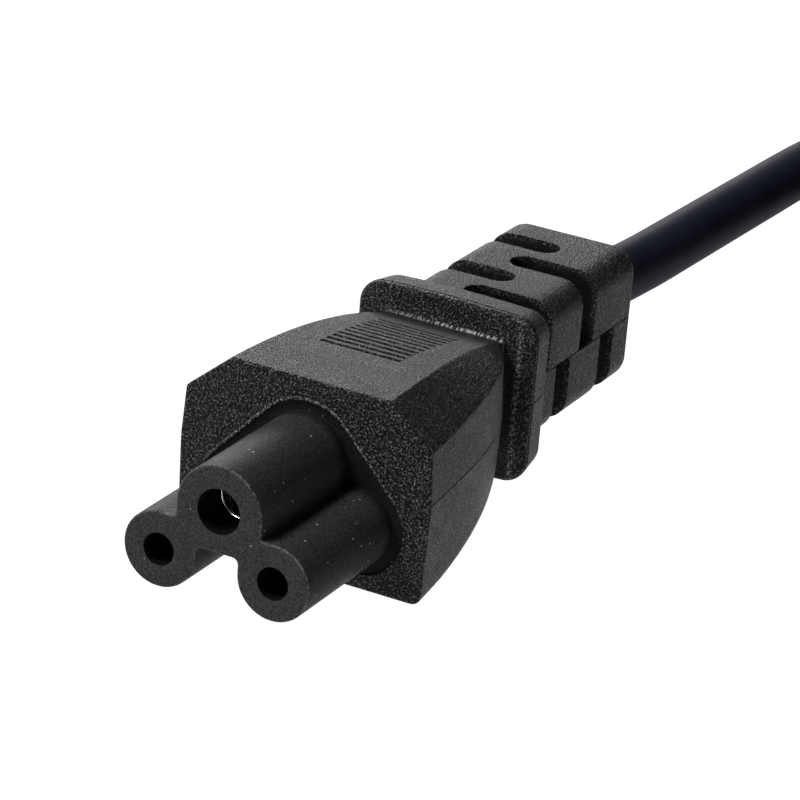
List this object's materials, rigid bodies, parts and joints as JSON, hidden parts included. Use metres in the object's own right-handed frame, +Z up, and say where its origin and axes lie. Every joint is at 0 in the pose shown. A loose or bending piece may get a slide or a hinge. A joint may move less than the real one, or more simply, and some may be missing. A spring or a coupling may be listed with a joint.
{
  "type": "cloverleaf power cord",
  "caption": "Thin round power cord with a cloverleaf appliance connector, slotted strain relief, tied coil and moulded plug.",
  "frame": {"origin": "on the floor under the middle of the connector, measured without the cord and what is on it", "axes": "the sockets open towards -Y, the cord leaves towards +Y, +Z is up with the earth socket on top"},
  "size_m": [0.0819, 0.1737, 0.025],
  "materials": {
    "moulding": "fine spark-eroded grain, black PVC",
    "insert": "smooth satin black",
    "contact": "tin-plated spring brass",
    "jacket": "smooth satin PVC, bluish black",
    "tie": "matte black strap",
    "plug": "fine grain, black PVC",
    "blade": "nickel-plated brass"
  },
  "bodies": {
    "root": {"connector_nose": "insert", "connector_body": "moulding", "contact_line": "contact", "contact_neutral": "contact", "contact_earth": "contact", "cord_lead": "jacket", "cord_coil": "jacket", "cord_tail": "jacket", "cord_tie": "tie", "plug_body": "plug", "plug_blade_line": "blade", "plug_blade_neutral": "blade", "plug_pin_earth": "blade"}
  },
  "joints": []
}
